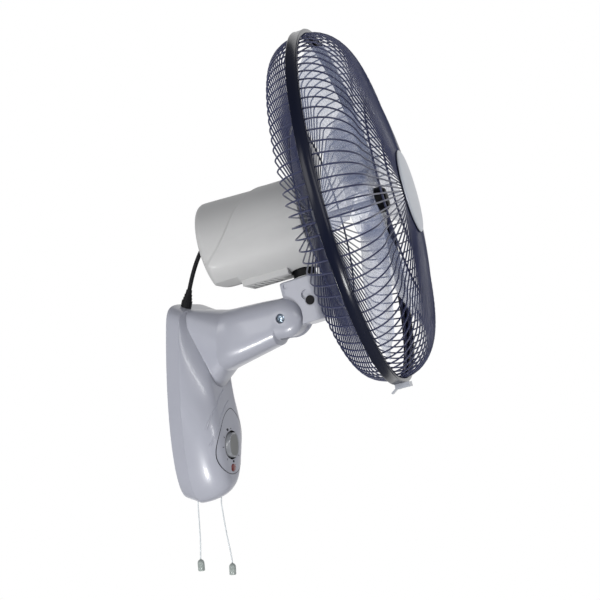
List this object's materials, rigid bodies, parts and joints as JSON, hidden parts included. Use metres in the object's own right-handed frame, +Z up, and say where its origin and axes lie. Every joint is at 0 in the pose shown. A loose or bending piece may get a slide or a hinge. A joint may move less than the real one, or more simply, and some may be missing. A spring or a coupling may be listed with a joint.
{
  "type": "wall mounted fan",
  "caption": "Wall fan with a clear blade in a round wire guard, a tilting and swinging motor head on an arm, and a wall base with a speed knob and pull cords.",
  "frame": {"origin": "middle of the base's flat back face, in the plane of the wall", "axes": "+Y into the wall, -Y out of the wall along the arm, +Z up, +X to the right of someone who faces the wall"},
  "size_m": [0.4419, 0.3335, 0.6863],
  "materials": {
    "cover_grey": "gloss",
    "housing_grey": "gloss",
    "clear_tint": "gloss",
    "guard_navy": "gloss",
    "ring_navy": "gloss",
    "cap_silver": "satin",
    "clip_grey": "gloss",
    "bright_steel": "polished",
    "machined_steel": "brushed",
    "cast_metal": "cast",
    "black_rubber": "matt",
    "black_plastic": "matt",
    "knob_grey": "gloss",
    "lens_red": "gloss",
    "laminated_steel": "satin",
    "copper_wire": "satin",
    "sintered_bronze": "satin",
    "white_plastic": "matt",
    "cord_white": "matt",
    "bell_grey": "gloss"
  },
  "bodies": {
    "base": {"rear_shell": "cover_grey", "front_cover": "cover_grey", "screw_posts": "cover_grey", "arm": "cover_grey", "control_panel": "cover_grey", "panel_frame": "cover_grey", "knob_cup": "cover_grey", "speed_switch": "black_plastic", "indicator_lens": "lens_red", "tilt_bolt": "bright_steel", "tilt_nut": "bright_steel", "pull_switches": "black_plastic", "capacitor": "black_plastic", "base_grommet": "black_rubber", "motor_lead": "black_rubber", "cover_screws": "machined_steel"},
    "neck": {"neck_bracket": "cover_grey", "side_plug": "black_plastic", "pan_lock_screw": "machined_steel", "pan_washer": "white_plastic"},
    "head": {"motor_housing": "housing_grey", "pan_shaft": "machined_steel", "swing_gearbox": "cast_metal", "rear_end_shield": "cast_metal", "front_end_shield": "cast_metal", "stator_core": "laminated_steel", "stator_windings": "copper_wire", "rear_bush": "sintered_bronze", "front_bush": "sintered_bronze", "rear_guard": "guard_navy", "guard_nut": "clip_grey", "trim_ring": "ring_navy", "front_guard": "guard_navy", "front_cap": "cap_silver", "guard_clip": "clip_grey", "motor_grommet": "black_rubber"},
    "rotor": {"blade": "clear_tint", "spinner": "black_plastic", "motor_shaft": "machined_steel", "rotor_core": "laminated_steel"},
    "knob": {"speed_knob": "knob_grey"},
    "speed_pull": {"speed_cord": "cord_white", "speed_bell": "bell_grey"},
    "swing_pull": {"swing_cord": "cord_white", "swing_bell": "bell_grey"},
    "clip": {"clip_lever": "clip_grey"}
  },
  "joints": [
    {"name": "neck_tilt", "type": "hinge", "parent": "base", "child": "neck", "pos_m": [0, -0.146, 0.111], "axis": [1, 0, 0], "range_deg": [-4.4, 40], "deforming": ["motor_lead"]},
    {"name": "head_pan", "type": "hinge", "parent": "neck", "child": "head", "pos_m": [0, -0.15109, 0.22663], "axis": [0, 0.2689, 0.9632], "range_deg": [-51.3, 28.7], "deforming": ["motor_lead"]},
    {"name": "fan_spin", "type": "hinge", "parent": "head", "child": "rotor", "pos_m": [0.01607, -0.22854, 0.24825], "axis": [0.1959, -0.9445, 0.2637], "continuous": true},
    {"name": "knob_turn", "type": "hinge", "parent": "base", "child": "knob", "pos_m": [0, -0.06462, -0.0514], "axis": [0, -0.9968, 0.0797], "range_deg": [0, 180]},
    {"name": "speed_pull", "type": "slide", "parent": "base", "child": "speed_pull", "axis": [0, 0, -1], "range_m": [0, 0.012], "stiffness_N_per_m": 200},
    {"name": "swing_pull", "type": "slide", "parent": "base", "child": "swing_pull", "axis": [0, 0, -1], "range_m": [0, 0.012], "stiffness_N_per_m": 200},
    {"name": "clip_open", "type": "hinge", "parent": "head", "child": "clip", "pos_m": [0.01534, -0.28609, 0.02864], "axis": [-0.9806, -0.1887, 0.0527], "range_deg": [0, 55]}
  ]
}
